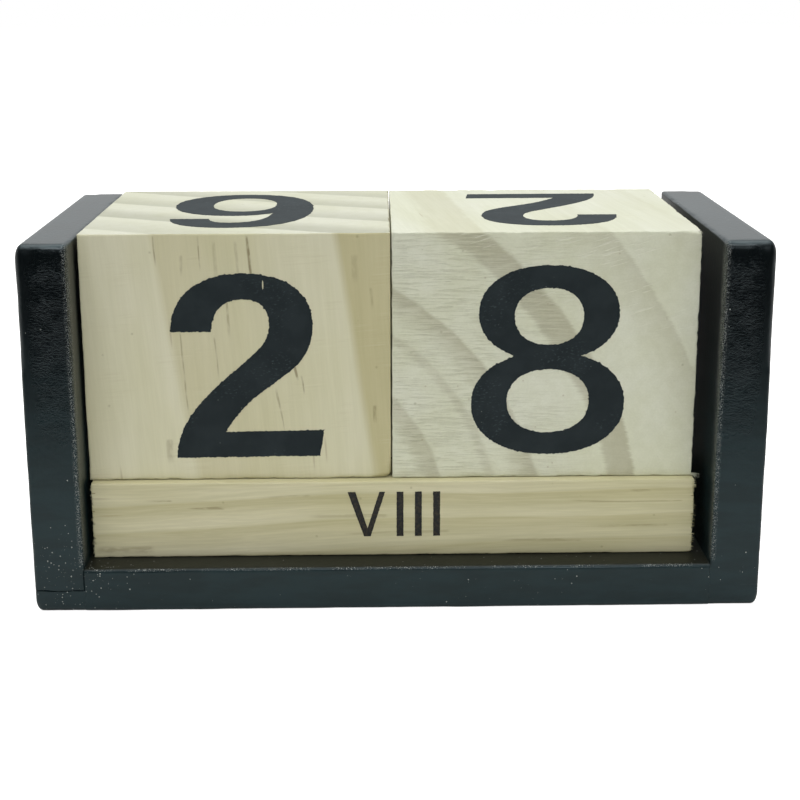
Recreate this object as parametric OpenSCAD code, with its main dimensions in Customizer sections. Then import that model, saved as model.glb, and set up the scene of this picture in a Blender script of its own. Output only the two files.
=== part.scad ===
// Perpetual desk calendar: a painted wooden tray that holds two day blocks on three loose month bars.
// X runs left to right, Y from front to back, Z up. The origin is under the middle of the tray.

/* [Day blocks] */
// Width of a day block
block_w = 63; // [50:0.5:80]
// Height and depth of a day block, equal so that it can be rolled to any long face
block_s = 52.5; // [44:0.5:60]
// Gap between the two day blocks
block_gap = 0.15; // [0.1:0.05:1]
// Gap between the left panel and the tens block
block_side_gap = 0.4; // [0.2:0.1:1.5]
// Sanded edge of the day blocks
block_ease = 0.5; // [0.2:0.1:1.5]

/* [Month bars] */
// Height and depth of a month bar
bar_s = 16.5; // [12:0.5:20]
// Length of a month bar
bar_l = 126; // [110:1:160]
// Gap between neighbouring month bars
bar_gap = 2.4; // [0.4:0.2:4]
// Gap between the left panel and the bars
bar_side_gap = 0.9; // [0.3:0.1:1.5]
// How far the front bar stands out in front of the day blocks
bar_proud = 1.8; // [0:0.1:4]
// Sanded edge of the month bars
bar_ease = 0.4; // [0.2:0.1:1]

/* [Tray] */
// Thickness of a side panel
panel_t = 10.4; // [8:0.2:16]
// Height of the side panels' top above the table
panel_h = 77.6; // [60:0.2:90]
// Thickness of the base board
base_t = 9.3; // [8:0.1:14]
// Thickness of the base's tongue under a side panel
tongue_t = 4.7; // [3.6:0.1:6]
// Width left free beside the blocks and the bars, so that they lift out
side_room = 3.25; // [1.6:0.05:8]
// Base left bare in front of the bars
ledge = 5.8; // [2:0.2:12]
// Base left bare behind the bars
back_room = 1.9; // [0.5:0.1:10]
// Width of the tray's rounded outer corners
corner_w = 1.5; // [0.6:0.1:2.5]
// Height of the tray's rounded outer corners
corner_h = 3; // [0.6:0.1:3.5]
// Sanded edge of the boards
board_ease = 0.8; // [0.2:0.1:1.2]

/* [Brads] */
// Diameter of a brad's shank
brad_d = 1.4; // [1:0.1:2]
// Length of a brad
brad_l = 16; // [10:1:25]
// Diameter of a brad's head
brad_head_d = 2.6; // [2.2:0.1:4]
// Thickness of a brad's head
brad_head_t = 0.9; // [0.5:0.1:1.5]
// How deep a brad's head sits above the underside of the base
brad_sink = 0.4; // [0:0.1:1]
// Distance from a brad to the tray's front or back edge
brad_inset = 12; // [6:1:20]

/* [Numerals] */
// Height of a day digit
digit_h = 39.5; // [20:0.5:42]
// Width of a day digit
digit_w = 31.2; // [16:0.2:40]
// Height of a month numeral
month_h = 9.9; // [6:0.1:11]
// Gap between the strokes of a month numeral
month_gap = 2.4; // [1:0.1:4]
// How far the month numerals lie above the middle of their face
month_rise = 1; // [-1:0.1:2]
// Depth of the paint in every numeral
paint_t = 0.3; // [0.2:0.05:1]

/* [Hidden] */

wood = "#cdc49c";
end_wood = "#c6c2a2";
black_paint = "#2c3336";
digit_paint = "#252c33";
steel = "silver";

blocks_w = 2 * block_w + block_gap;
inner_w = max(blocks_w, bar_l) + side_room;
tray_w = inner_w + 2 * panel_t;
bar_pitch = bar_s + bar_gap;
tray_d = ledge + 2 * bar_pitch + bar_s + back_room;
front_y = -tray_d / 2;
bars_y = front_y + ledge;
blocks_y = bars_y + bar_proud;
block_z = base_t + bar_s;

// Centres of the loose pieces
block_size = [block_w, block_s, block_s];
tens_at = [-inner_w / 2 + block_side_gap, blocks_y, block_z] + block_size / 2;
units_at = tens_at + [block_w + block_gap, 0, 0];
bar_size = [bar_l, bar_s, bar_s];
function bar_at(row) = [-inner_w / 2 + bar_side_gap, bars_y + row * bar_pitch, base_t] + bar_size / 2;

// How far a cutter runs past the face it opens
over = 0.2;
// Straight steps in a quarter turn of a sanded edge, and in one curve of a digit
edge_steps = 5;
curve_steps = 7;

// ---- Outlines ----

// A quarter of an ellipse about c, from angle a on, with radii r
function quarter(c, r, a) =
    [for (i = [0:edge_steps]) let (t = a + 90 * i / edge_steps) c + [r[0] * cos(t), r[1] * sin(t)]];

// A rectangle from lo to hi with rounded corners, each given by its two radii:
// lower left, lower right, upper right, upper left
function rounded(lo, hi, r) = concat(
    quarter([lo[0] + r[0][0], lo[1] + r[0][1]], r[0], 180),
    quarter([hi[0] - r[1][0], lo[1] + r[1][1]], r[1], 270),
    quarter([hi[0] - r[2][0], hi[1] - r[2][1]], r[2], 0),
    quarter([lo[0] + r[3][0], hi[1] - r[3][1]], r[3], 90));

// A rectangle from lo to hi with its corners cut off by e
function eased(lo, hi, e) = [
    [lo[0] + e, lo[1]], [hi[0] - e, lo[1]], [hi[0], lo[1] + e], [hi[0], hi[1] - e],
    [hi[0] - e, hi[1]], [lo[0] + e, hi[1]], [lo[0], hi[1] - e], [lo[0], lo[1] + e]];

// A cubic curve from a to d, without its first point
function curve(a, b, c, d) = [for (i = [1:curve_steps]) let (t = i / curve_steps, s = 1 - t)
    s * s * s * a + 3 * s * s * t * b + 3 * s * t * t * c + t * t * t * d];

// The points of a closed outline. A stretch is [end] where it is straight and [pull, pull, end] where it curves.
function traced(path) = [for (i = [0:len(path) - 1])
    let (before = path[(i + len(path) - 1) % len(path)], start = before[len(before) - 1], now = path[i])
    each (len(now) == 1 ? now : curve(start, now[0], now[1], now[2]))];

// An oval about c with radii r, a little squarer than an ellipse
squareness = 0.92;
function bulge(v) = sign(v) * pow(abs(v), squareness);
oval_steps = 40;
function oval(c, r) = [for (i = [0:oval_steps - 1]) let (t = 360 * (i + 0.5) / oval_steps)
    c + [r[0] * bulge(cos(t)), r[1] * bulge(sin(t))]];

// ---- Digits, drawn in a cell of this width and height ----

cell = [82, 100];

zero_outside = oval([41, 50], [41, 51.4]);
zero_inside = oval([41, 50], [19.4, 38.6]);

one = traced([
    [[57.5, 0]], [[57.5, 100]], [[40, 100]],
    [[37.5, 88.5], [27, 80.8], [9, 80]],
    [[9, 67]], [[34.2, 67]], [[34.2, 0]]]);

two = traced([
    [[0.4, 68.7]], [[22.4, 68.7]],
    [[23, 80.5], [30, 86], [39.5, 86]],
    [[48.5, 86], [53.6, 81.2], [53.6, 73]],
    [[53.6, 66.5], [51, 61.5], [45.3, 56.8]],
    [[38, 50.4], [31, 44.9], [24.2, 38.7]],
    [[10, 25.8], [2.2, 14], [1.9, 0]],
    [[80, 0.6]], [[82.2, 14.8]], [[28.7, 14.2]],
    [[32.5, 20.5], [38, 27], [44, 32]],
    [[50.5, 37.4], [58, 42.2], [65, 47.7]],
    [[73, 54], [77, 62], [77, 73]],
    [[77, 90], [62, 99.6], [40, 99.6]],
    [[17, 99.6], [1.2, 89], [0.4, 68.7]]]);

three = traced([
    [[3, 72]],
    [[4, 90], [19, 101.4], [40.5, 101.4]],
    [[62, 101.4], [77, 91], [77, 74.5]],
    [[77, 64], [71, 56.5], [61.5, 53]],
    [[74.5, 49.8], [82, 41], [82, 29]],
    [[82, 10.5], [65.5, -1.4], [41, -1.4]],
    [[15.5, -1.4], [0.5, 10], [0, 30.8]],
    [[21.5, 30.8]],
    [[22, 18.6], [29, 12.2], [40.5, 12.2]],
    [[52, 12.2], [59, 18.6], [59, 28.6]],
    [[59, 39.5], [51, 45], [37, 45]],
    [[31, 45]], [[31, 58]], [[36.5, 58]],
    [[49, 58], [55.5, 63], [55.5, 73]],
    [[55.5, 82.5], [49.5, 88.4], [40.4, 88.4]],
    [[30, 88.4], [24.5, 82.5], [24, 72]]]);

four_outside = [
    [50, 0], [72, 0], [72, 22.5], [84, 22.5], [84, 36], [72, 36], [72, 100], [49, 100],
    [-1, 38], [-1, 22.5], [50, 22.5]];
four_inside = [[19, 36], [50, 36], [50, 75]];

five = traced([
    [[10.5, 100]], [[75.5, 100]], [[75.5, 86]], [[28.2, 86]], [[24.8, 65.8]],
    [[29.5, 69.6], [36, 71], [43, 71]],
    [[66, 71], [82, 57], [82, 36.5]],
    [[82, 13.5], [65, -1.4], [40.5, -1.4]],
    [[17, -1.4], [1.5, 10], [0.4, 28.2]],
    [[22.4, 28.2]],
    [[23.4, 18.4], [30.3, 12.2], [40.3, 12.2]],
    [[52, 12.2], [59.4, 21.5], [59.4, 34.6]],
    [[59.4, 48.5], [52, 57.4], [40.2, 57.4]],
    [[32, 57.4], [26.5, 54.2], [22.6, 48.2]],
    [[1.6, 48.2]]]);

seven = traced([
    [[1, 100]], [[81, 100]], [[81, 87.5]],
    [[61, 69], [43, 37], [40.8, 0]],
    [[17, 0]],
    [[18.5, 33], [34, 62], [56, 85.6]],
    [[1, 85.6]]]);

eight_upper = oval([41.8, 76], [37.9, 25.4]);
eight_lower = oval([41.8, 27], [41.8, 28]);
eight_upper_hole = oval([41.8, 74.2], [18.7, 15.3]);
eight_lower_hole = oval([41.8, 28.4], [22.5, 17.4]);

// Reads as a six when turned by half a turn
nine_outside = traced([
    [[3.2, 24]], [[24.8, 24]],
    [[26, 16.5], [30.5, 12.6], [37.5, 12.6]],
    [[51, 12.6], [58.2, 23], [59.4, 40.8]],
    [[53.5, 35.2], [46, 32.6], [37, 32.6]],
    [[15.5, 32.6], [0.4, 46], [0.4, 66.2]],
    [[0.4, 87], [16.5, 101.4], [40.5, 101.4]],
    [[67.5, 101.4], [82, 83.5], [82, 52.5]],
    [[82, 19], [66, -1.4], [37.5, -1.4]],
    [[17, -1.4], [4.5, 8.2], [3.2, 24]]]);
nine_inside = oval([41, 67], [18.6, 21.4]);

// The outline of a digit at its real size, about its own middle
function sized(points) = [for (p = points) [(p[0] / cell[0] - 0.5) * digit_w, (p[1] / cell[1] - 0.5) * digit_h]];

module shape(outside, inside = []) {
    difference() {
        polygon(sized(outside));
        if (len(inside) > 0) polygon(sized(inside));
    }
}

module eight() {
    difference() {
        union() {
            shape(eight_upper);
            shape(eight_lower);
        }
        shape(eight_upper_hole);
        shape(eight_lower_hole);
    }
}

module digit(n) {
    if (n == 0) shape(zero_outside, zero_inside);
    if (n == 1) shape(one);
    if (n == 2) shape(two);
    if (n == 3) shape(three);
    if (n == 4) shape(four_outside, four_inside);
    if (n == 5) shape(five);
    if (n == 7) shape(seven);
    if (n == 8) eight();
    if (n == 9) shape(nine_outside, nine_inside);
}

// ---- Month numerals, drawn as high as the digits' cell ----

MONTHS = ["I", "II", "III", "IV", "V", "VI", "VII", "VIII", "IX", "X", "XI", "XII"];
stroke_i = [[0, 0], [14.5, 0], [14.5, 100], [0, 100]];
stroke_v = [[34, 0], [48, 0], [79, 100], [67, 100], [41.5, 18], [16.5, 100], [0, 100]];
stroke_x = [
    [0, 0], [13.5, 0], [39.5, 41.5], [64, 0], [80.5, 0], [47.8, 52.5],
    [77, 100], [63.5, 100], [40.5, 63], [18.5, 100], [2, 100], [31.8, 51.8]];

month_scale = month_h / cell[1];
function letter(c) = c == "I" ? stroke_i : c == "V" ? stroke_v : stroke_x;
function letter_w(c) = max([for (p = letter(c)) p[0]]) * month_scale;
// Width of the first n letters of a word, with the gap after each
function word_w(word, n) = n == 0 ? 0 : word_w(word, n - 1) + letter_w(word[n - 1]) + month_gap;

module month(number) {
    word = MONTHS[number - 1];
    whole = word_w(word, len(word)) - month_gap;
    for (i = [0:len(word) - 1])
        translate([word_w(word, i) - whole / 2, month_rise - month_h / 2])
            polygon(letter(word[i]) * month_scale);
}

// ---- What is painted on each face ----

// Digit, face, turn, and how far it was painted off the middle of its face
TENS_FACES = [
    [2, "front", 0, [1.9, -1.6]], [9, "top", 0, [-0.8, 0]], [1, "back", 0, [0.6, 0]],
    [3, "bottom", 0, [0, 0]], [0, "left", 0, [0, 0]], [5, "right", 0, [0, 0]]];
UNITS_FACES = [
    [8, "front", 0, [0.5, -1]], [2, "top", 180, [1.8, 0]], [4, "back", 0, [-0.5, 0.4]],
    [7, "bottom", 0, [0, 0]], [1, "left", 0, [0, 0]], [0, "right", 0, [0, 0]]];

// Month and face of the front, middle and rear bars
BAR_FACES = [
    [[8, "front"], [7, "top"], [6, "back"], [5, "bottom"]],
    [[4, "front"], [3, "top"], [2, "back"], [1, "bottom"]],
    [[9, "front"], [10, "top"], [12, "back"], [11, "bottom"]]];

// Lays a drawing on one face of a block of that size, upright for whoever looks at that face
module on_face(face, size) {
    if (face == "front") translate([0, -size[1] / 2, 0]) rotate([90, 0, 0]) children();
    if (face == "back") translate([0, size[1] / 2, 0]) rotate([90, 0, 180]) children();
    if (face == "top") translate([0, 0, size[2] / 2]) children();
    if (face == "bottom") translate([0, 0, -size[2] / 2]) rotate([180, 0, 0]) children();
    if (face == "left") translate([-size[0] / 2, 0, 0]) rotate([90, 0, -90]) children();
    if (face == "right") translate([size[0] / 2, 0, 0]) rotate([90, 0, 90]) children();
}

// The digits of one block: solids flush with its faces, or the cutters for them when they run out past the face
module block_digits(faces, past = 0) {
    for (f = faces)
        on_face(f[1], block_size) translate([f[3][0], f[3][1], -paint_t]) rotate([0, 0, f[2]])
            linear_extrude(paint_t + past) digit(f[0]);
}

module bar_months(row, past = 0) {
    for (f = BAR_FACES[row])
        on_face(f[1], bar_size) translate([0, 0, -paint_t]) linear_extrude(paint_t + past) month(f[0]);
}

// ---- Pieces ----

// A block about its own middle with every edge sanded off by e
module eased_block(size, e) {
    half = size / 2;
    intersection() {
        translate([0, 0, -half[2]]) linear_extrude(size[2])
            polygon(eased([-half[0], -half[1]], [half[0], half[1]], e));
        rotate([90, 0, 0]) translate([0, 0, -half[1]]) linear_extrude(size[1])
            polygon(eased([-half[0], -half[2]], [half[0], half[2]], e));
        rotate([90, 0, 90]) translate([0, 0, -half[0]]) linear_extrude(size[0])
            polygon(eased([-half[1], -half[2]], [half[1], half[2]], e));
    }
}

module day_block(at, faces) {
    translate(at) difference() {
        eased_block(block_size, block_ease);
        block_digits(faces, over);
    }
}

module month_bar(row) {
    translate(bar_at(row)) difference() {
        eased_block(bar_size, bar_ease);
        bar_months(row, over);
    }
}

// Radii of the boards' corners, across and up
square_corner = [0, 0];
outer_corner = [corner_w, corner_h];
eased_corner = [board_ease, board_ease];

// The three outlines that a board of the tray is kept within, seen from above, from the front and from the side
module plan_outline(lo_x, hi_x, hi_z) {
    linear_extrude(hi_z)
        polygon(rounded([lo_x, front_y], [hi_x, -front_y], [for (i = [0:3]) eased_corner]));
}

module front_outline(lo, hi, corners) {
    translate([0, -front_y, 0]) rotate([90, 0, 0]) linear_extrude(tray_d) polygon(rounded(lo, hi, corners));
}

module side_outline(lo_z, hi_z, lo_ease, hi_ease, lo_x, hi_x) {
    translate([lo_x, 0, 0]) rotate([90, 0, 90]) linear_extrude(hi_x - lo_x)
        polygon(rounded([front_y, lo_z], [-front_y, hi_z], [lo_ease, lo_ease, hi_ease, hi_ease]));
}

// Places of the brads along the depth of the tray
brad_rows = [front_y + brad_inset, -front_y - brad_inset];
brad_x = (tray_w - panel_t) / 2;

module brad_shapes(past = 0) {
    for (x = [-brad_x, brad_x], y = brad_rows) translate([x, y, brad_sink]) {
        cylinder(h = brad_l, d = brad_d, $fn = 32);
        translate([0, 0, -past]) cylinder(h = brad_head_t + past, d = brad_head_d, $fn = 32);
    }
}

module base_board() {
    color(black_paint) difference() {
        intersection() {
            union() {
                front_outline([-tray_w / 2, 0], [tray_w / 2, tongue_t],
                    [outer_corner, outer_corner, square_corner, square_corner]);
                front_outline([-inner_w / 2, 0], [inner_w / 2, base_t], [for (i = [0:3]) square_corner]);
            }
            plan_outline(-tray_w / 2, tray_w / 2, base_t);
            side_outline(0, base_t, eased_corner, eased_corner, -tray_w / 2, tray_w / 2);
        }
        brad_shapes(brad_sink + over);
    }
}

module side_panel(side) {
    lo = side < 0 ? -tray_w / 2 : inner_w / 2;
    hi = lo + panel_t;
    color(black_paint) difference() {
        intersection() {
            front_outline([lo, tongue_t], [hi, panel_h], [square_corner, square_corner,
                side < 0 ? eased_corner : outer_corner, side < 0 ? outer_corner : eased_corner]);
            plan_outline(lo, hi, panel_h);
            side_outline(tongue_t, panel_h, square_corner, outer_corner, lo, hi);
        }
        brad_shapes();
    }
}

module left_side_panel() { side_panel(-1); }
module right_side_panel() { side_panel(1); }
module panel_brads() { color(steel) brad_shapes(); }
module tens_block() { color(wood) day_block(tens_at, TENS_FACES); }
module units_block() { color(end_wood) day_block(units_at, UNITS_FACES); }
module tens_numerals() { color(digit_paint) translate(tens_at) block_digits(TENS_FACES); }
module units_numerals() { color(digit_paint) translate(units_at) block_digits(UNITS_FACES); }
module front_month_bar() { color(wood) month_bar(0); }
module middle_month_bar() { color(wood) month_bar(1); }
module rear_month_bar() { color(wood) month_bar(2); }
module front_month_numerals() { color(digit_paint) translate(bar_at(0)) bar_months(0); }
module middle_month_numerals() { color(digit_paint) translate(bar_at(1)) bar_months(1); }
module rear_month_numerals() { color(digit_paint) translate(bar_at(2)) bar_months(2); }

base_board();
left_side_panel();
right_side_panel();
panel_brads();
tens_block();
units_block();
tens_numerals();
units_numerals();
front_month_bar();
middle_month_bar();
rear_month_bar();
front_month_numerals();
middle_month_numerals();
rear_month_numerals();
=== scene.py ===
"""Looks of the perpetual desk calendar: a black tray, two loose day blocks and three loose month bars.

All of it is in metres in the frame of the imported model: X to the reader's right, Y to the back, Z up.
Sizes below are written in millimetres, and MM turns them to metres.
"""
import math

import bmesh
import bpy
import numpy as np
from mathutils import Matrix, Vector, noise
from mathutils.geometry import tessellate_polygon


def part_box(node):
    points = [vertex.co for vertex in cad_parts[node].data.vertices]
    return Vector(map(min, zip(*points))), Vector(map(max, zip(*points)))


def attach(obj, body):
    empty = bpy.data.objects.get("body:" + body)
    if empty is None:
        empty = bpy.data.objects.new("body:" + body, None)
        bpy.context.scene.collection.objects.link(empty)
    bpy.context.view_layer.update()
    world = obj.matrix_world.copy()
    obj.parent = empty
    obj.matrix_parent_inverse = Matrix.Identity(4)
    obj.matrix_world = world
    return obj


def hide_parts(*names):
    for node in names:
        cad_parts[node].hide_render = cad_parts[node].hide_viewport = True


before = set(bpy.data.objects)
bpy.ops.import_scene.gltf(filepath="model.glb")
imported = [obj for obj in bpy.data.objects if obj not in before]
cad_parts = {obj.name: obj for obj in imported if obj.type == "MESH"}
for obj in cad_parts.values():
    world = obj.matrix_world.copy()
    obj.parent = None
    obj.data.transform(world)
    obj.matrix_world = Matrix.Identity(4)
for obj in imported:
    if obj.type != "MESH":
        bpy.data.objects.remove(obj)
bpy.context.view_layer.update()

MM = 0.001
scene = bpy.context.scene


def box_mm(node):
    """The low and the high corner of a CAD node's box, in millimetres"""
    lo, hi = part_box(node)
    return np.array(lo) / MM, np.array(hi) / MM


def middle(node):
    lo, hi = box_mm(node)
    return (lo + hi) / 2


# Faces of the tray in mm, from the middle of its foot
FRONT_Y = box_mm("base_board")[0][1]
LEDGE_Z = box_mm("base_board")[1][2]
INNER_X = box_mm("right_side_panel")[0][0]
TONGUE_Z = box_mm("right_side_panel")[0][2]
OUTER_X = box_mm("right_side_panel")[1][0]
TOP_Z = box_mm("right_side_panel")[1][2]


# ---- Camera, floor and light ----

SENSOR_MM = 36
LENS_MM = 58.8
SHIFT_UP = -0.18
CAMERA_AT = Vector((-3.7, -281.1, 129.4)) * MM
PITCH_DOWN = math.radians(12.25)
YAW = math.radians(-0.96)
ROLL = math.radians(-0.13)


def place_camera():
    camera = bpy.data.objects.new("camera", bpy.data.cameras.new("camera"))
    camera.data.sensor_width = SENSOR_MM
    camera.data.lens = LENS_MM
    camera.data.shift_y = SHIFT_UP
    camera.data.clip_start = 0.01
    turn = Matrix.Rotation(YAW, 4, "Z") @ Matrix.Rotation(math.pi / 2 - PITCH_DOWN, 4, "X")
    camera.matrix_world = Matrix.Translation(CAMERA_AT) @ turn @ Matrix.Rotation(ROLL, 4, "Z")
    scene.collection.objects.link(camera)
    scene.camera = camera


def linear(hex_colour):
    """An sRGB colour such as "d6d3b8" as linear red, green, blue and an alpha of 1"""
    parts = [int(hex_colour[i:i + 2], 16) / 255 for i in (0, 2, 4)]
    return [p / 12.92 if p <= 0.04045 else ((p + 0.055) / 1.055) ** 2.4 for p in parts] + [1]


def add(tree, kind, *values, **settings):
    """Adds a shader node with its settings. Each value goes to the next input in use, and a dictionary gives
    inputs by name. A node among the values is linked by its first output in use, an output as it is."""
    made = tree.nodes.new("ShaderNode" + kind)
    for name, setting in settings.items():
        setattr(made, name, setting)
    in_use = [socket for socket in made.inputs if socket.enabled]
    named = {socket.name: socket for socket in reversed(in_use)}
    for place, value in enumerate(values):
        by_socket = [(in_use[place], value)]
        if isinstance(value, dict):
            by_socket = [(named[name], given) for name, given in value.items()]
        for socket, given in by_socket:
            if isinstance(given, bpy.types.Node):
                given = next(output for output in given.outputs if output.enabled)
            if isinstance(given, bpy.types.NodeSocket):
                tree.links.new(given, socket)
            else:
                socket.default_value = given
    return made


# Settings that many nodes share. A map range with SOFT and no more than two numbers rises from 0 to 1.
TIMES = {"operation": "MULTIPLY"}
TIMES_PLUS = {"operation": "MULTIPLY_ADD"}
OVER = {"operation": "DIVIDE"}
LESS = {"operation": "SUBTRACT"}
SOFT = {"interpolation_type": "SMOOTHSTEP"}
COLOURS = {"data_type": "RGBA"}


def soft_light(name, at, towards, size, power):
    lamp = bpy.data.lights.new(name, "AREA")
    lamp.shape = "RECTANGLE"
    lamp.size, lamp.size_y = size
    lamp.energy = power
    holder = bpy.data.objects.new(name, lamp)
    holder.location = at
    holder.rotation_mode = "QUATERNION"
    holder.rotation_quaternion = (Vector(towards) - Vector(at)).to_track_quat("-Z", "Y")
    scene.collection.objects.link(holder)


def white_surroundings(fill, gloss_front, gloss_back):
    """A plain white room: it fills the shadows evenly, and is darker on the side where the camera stands"""
    world = bpy.data.worlds.new("room")
    world.use_nodes = True
    tree = world.node_tree
    tree.nodes.clear()
    path = add(tree, "LightPath")
    way = add(tree, "SeparateXYZ", add(tree, "TexCoord").outputs["Generated"])
    mirrored = add(tree, "MapRange", way.outputs["Y"], -0.6, 0.5, gloss_front, gloss_back)
    lighting = add(tree, "Mix", path.outputs["Is Glossy Ray"], fill, mirrored)
    strength = add(tree, "Mix", path.outputs["Is Camera Ray"], lighting, 1.0)
    add(tree, "OutputWorld", add(tree, "Background", (1, 1, 1, 1), strength))
    scene.world = world


def pale_floor():
    """A matt white sweep that stays white to the camera and keeps the shadow under the tray"""
    reach = 3.0
    front_reach = 0.15
    mesh = bpy.data.meshes.new("floor")
    corners = [(-reach, -front_reach, 0), (reach, -front_reach, 0), (reach, reach, 0), (-reach, reach, 0)]
    mesh.from_pydata(corners, [], [(0, 1, 2, 3)])
    floor = bpy.data.objects.new("floor", mesh)
    scene.collection.objects.link(floor)
    paper = bpy.data.materials.new("white_paper")
    paper.use_nodes = True
    tree = paper.node_tree
    tree.nodes.clear()
    card = add(tree, "BsdfDiffuse", linear("e6e6e4"))
    to_white = 0.76
    lift = add(tree, "Emission", (1, 1, 1, 1), to_white)
    seen = add(tree, "AddShader", card, lift)
    path = add(tree, "LightPath")
    add(tree, "OutputMaterial", add(tree, "MixShader", path.outputs["Is Camera Ray"], card, seen))
    mesh.materials.append(paper)


# ---- Materials ----

def new_material(name):
    material = bpy.data.materials.new(name)
    material.use_nodes = True
    material.node_tree.nodes.clear()
    return material, material.node_tree


def object_mm(tree):
    """Places on the piece in millimetres; they travel with it"""
    return add(tree, "VectorMath", add(tree, "TexCoord").outputs["Object"], 1 / MM, operation="SCALE")


def product(tree, first, *others):
    """The masks laid over each other: what all of them let through"""
    for other in others:
        first = add(tree, "Math", first, other, **TIMES)
    return first


def tinted(tree, colour, *layers):
    """The colour under layers of other tints, each laid on where its mask lets it through"""
    for mask, tint in layers:
        colour = add(tree, "Mix", mask, colour, linear(tint), **COLOURS)
    return colour


def surface(tree, height, strength, looks):
    """Ends a material: its looks, on a surface that the height raises by that many mm"""
    relief = add(tree, "Bump", {"Height": height, "Distance": MM, "Strength": strength})
    add(tree, "OutputMaterial", add(tree, "BsdfPrincipled", looks | {"Normal": relief}))


def growth_rings(tree, radius, rings):
    """How much late wood there is at each distance from the pith: it darkens outwards, then ends within
    half a millimetre"""
    margin = 4
    sharp = 0.3
    inner = min(edge - width for edge, width, change, dark in rings) - margin
    outer = max(edge for edge, width, change, dark in rings) + margin
    ramp = add(tree, "ValToRGB", add(tree, "MapRange", radius, inner, outer))
    stops = ramp.color_ramp.elements
    while len(stops) > 1:
        stops.remove(stops[-1])
    stops[0].position = 0
    stops[0].color = (0, 0, 0, 1)
    for edge, width, change, dark in sorted(rings):
        start = edge - width
        for at, grey in ((start, 0), (start + change, 0.8 * dark), (edge - sharp, dark), (edge + sharp, 0)):
            stop = stops.new((at - inner) / (outer - inner))
            stop.color = (grey, grey, grey, 1)
    return ramp.outputs["Color"]


def brown_dashes(tree, colour, place, sway, dashes, axes, front):
    """Resin streaks drawn one by one, which fade out behind front; short dark ones at a bar's torn ends are
    painted shade in the notches there. Each dash has its place on the first of the axes, its lean, its end
    and start on the second, its width and how dark it is."""
    at = add(tree, "SeparateXYZ", place)
    beside, along = (at.outputs[axis] for axis in axes)
    # The streaks break up every few millimetres along the grain
    break_size = {axes[0]: 0.9, axes[1]: 2.6}
    lengths = [break_size.get(axis, 9) for axis in "XYZ"]
    breaks = add(tree, "TexNoise", add(tree, "VectorMath", place, lengths, **OVER), 1, 2)
    shown = product(tree, add(tree, "MapRange", at.outputs["Y"], front, front + 2.5, 1, 0, **SOFT),
                    add(tree, "MapRange", breaks, 0.34, 0.56, 0.35, 1, **SOFT))
    bent = add(tree, "Math", beside, add(tree, "MapRange", sway, 0.2, 0.8, -0.5, 0.5, **SOFT))
    for middle_line, lean, end, start, width, dark in dashes:
        line = add(tree, "Math", along, lean, middle_line, **TIMES_PLUS)
        apart = add(tree, "Math", add(tree, "Math", bent, line, **LESS), operation="ABSOLUTE")
        fade = min(4, 0.4 * (end - start))
        mask = product(tree, shown, add(tree, "MapRange", apart, 0.25 * width, width, dark, 0, **SOFT),
                       add(tree, "MapRange", along, start, start + fade, **SOFT),
                       add(tree, "MapRange", along, end - 0.3 * fade, end, 1, 0, **SOFT))
        colour = tinted(tree, colour, (mask, "6e5c33"))
    return colour


def planer_marks(tree, colour, log, end_on, strength):
    """Marks of the planer's knives: faint lines across the fibres, in patches"""
    knives = add(tree, "TexNoise", add(tree, "VectorMath", log, (8, 8, 0.36), **OVER), 1, 2)
    patches = add(tree, "TexNoise", add(tree, "VectorMath", log, (9, 9, 6), **OVER), 1, 1)
    planed = product(tree, add(tree, "MapRange", patches, 0.5, 0.68, **SOFT),
                     add(tree, "MapRange", end_on, 0.2, 0.6, strength, 0, **SOFT))
    for lo, hi, tint in ((0.54, 0.68, "a08f66"), (0.46, 0.34, "efecd4")):
        mark = product(tree, planed, add(tree, "MapRange", knives, lo, hi, **SOFT))
        colour = tinted(tree, colour, (mark, tint))
    return colour


def saw_marks(tree, colour, height, place, cuts, end_face):
    """Scratches of the saw across a cut end: level ones on the left, slanting ones at the upper right"""
    at = add(tree, "SeparateXYZ", place)
    rightwards = add(tree, "Math", at.outputs["X"], 0.35, at.outputs["Z"], **TIMES_PLUS)
    right = add(tree, "MapRange", rightwards, 6, 20, **SOFT)
    zones = add(tree, "TexNoise", place, 1 / 12, 2)
    left_zone = product(tree, end_face, add(tree, "MapRange", zones, 0.3, 0.5, 0.3, 1, **SOFT),
                        add(tree, "MapRange", at.outputs["X"], -6, 18, 1, 0.12, **SOFT))
    right_zone = product(tree, end_face, right, add(tree, "MapRange", zones, 0.4, 0.6, **SOFT))
    slope = math.radians(17)
    turned = add(tree, "VectorRotate", {"Vector": place, "Angle": slope}, rotation_type="Y_AXIS")
    slants = add(tree, "TexNoise", add(tree, "VectorMath", turned, (5, 6, 0.4), **OVER), 1, 1)
    dark_cut = product(tree, left_zone, add(tree, "MapRange", cuts, 0.5, 0.66, **SOFT))
    pale_cut = product(tree, left_zone, add(tree, "MapRange", cuts, 0.5, 0.36, **SOFT))
    slant = product(tree, right_zone, add(tree, "MapRange", slants, 0.6, 0.72, **SOFT))
    deepest = add(tree, "Math", dark_cut, slant, operation="MAXIMUM")
    height = add(tree, "Math", deepest, -0.05, height, **TIMES_PLUS)
    for cut, share, tint in ((dark_cut, 0.16, "96937c"), (pale_cut, 0.2, "e2e2cf"), (slant, 0.5, "e6e6d4")):
        colour = tinted(tree, colour, (product(tree, cut, share), tint))
    return colour, height


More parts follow.
